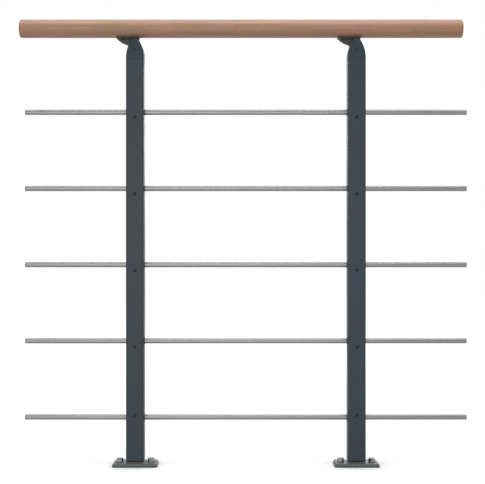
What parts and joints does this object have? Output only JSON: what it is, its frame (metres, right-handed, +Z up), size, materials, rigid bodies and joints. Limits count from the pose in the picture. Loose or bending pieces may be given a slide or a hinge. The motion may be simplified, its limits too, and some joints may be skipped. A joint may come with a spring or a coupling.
{
  "type": "stair landing railing",
  "caption": "Straight landing guard with square posts on bolted feet, round horizontal rods through the posts and a round wooden handrail on saddle brackets.",
  "frame": {"origin": "centre of the underside of the left foot plate, on the ground under the left post's axis", "axes": "+X along the guard from the left post to the right one as the picture shows them, +Z up, and the picture's viewer stands on the -Y side"},
  "size_m": [1.0015, 0.06, 0.9999],
  "materials": {
    "beech": "clear lacquered beech, satin, fine long grain",
    "coated_post": "anthracite powder coat, satin, very fine orange peel",
    "coated_head": "anthracite powder coat on a casting, satin",
    "coated_bracket": "dark grey powder coat on a casting, satin",
    "pivot_steel": "dark coated steel bolt",
    "bracket_screw_black": "black zinc plating",
    "foot_casting": "grey coated casting, slightly grained",
    "anchor_zinc": "zinc plated, slightly dulled",
    "washer_zinc": "zinc plated",
    "screw_black": "black oxide",
    "rod_steel": "stainless steel, brushed along its length",
    "plug_steel": "stainless steel, turned",
    "seal_rubber": "black rubber, matt",
    "bushing_nylon": "black nylon"
  },
  "bodies": {
    "root": {"handrail": "beech", "left_post": "coated_post", "left_post_head": "coated_head", "left_rail_bracket": "coated_bracket", "left_bracket_pivot": "pivot_steel", "left_bracket_screws": "bracket_screw_black", "left_base_plate": "foot_casting", "left_tube_seal": "seal_rubber", "left_inner_anchor_bolt": "anchor_zinc", "left_inner_anchor_washer": "washer_zinc", "left_outer_anchor_bolt": "anchor_zinc", "left_outer_anchor_washer": "washer_zinc", "left_rod_screws": "screw_black", "right_post": "coated_post", "right_post_head": "coated_head", "right_rail_bracket": "coated_bracket", "right_bracket_pivot": "pivot_steel", "right_bracket_screws": "bracket_screw_black", "right_base_plate": "foot_casting", "right_tube_seal": "seal_rubber", "right_inner_anchor_bolt": "anchor_zinc", "right_inner_anchor_washer": "washer_zinc", "right_outer_anchor_bolt": "anchor_zinc", "right_outer_anchor_washer": "washer_zinc", "right_rod_screws": "screw_black", "rod_1": "rod_steel", "rod_1_end_plugs": "plug_steel", "rod_1_bushings": "bushing_nylon", "rod_2": "rod_steel", "rod_2_end_plugs": "plug_steel", "rod_2_bushings": "bushing_nylon", "rod_3": "rod_steel", "rod_3_end_plugs": "plug_steel", "rod_3_bushings": "bushing_nylon", "rod_4": "rod_steel", "rod_4_end_plugs": "plug_steel", "rod_4_bushings": "bushing_nylon", "rod_5": "rod_steel", "rod_5_end_plugs": "plug_steel", "rod_5_bushings": "bushing_nylon"}
  },
  "joints": []
}
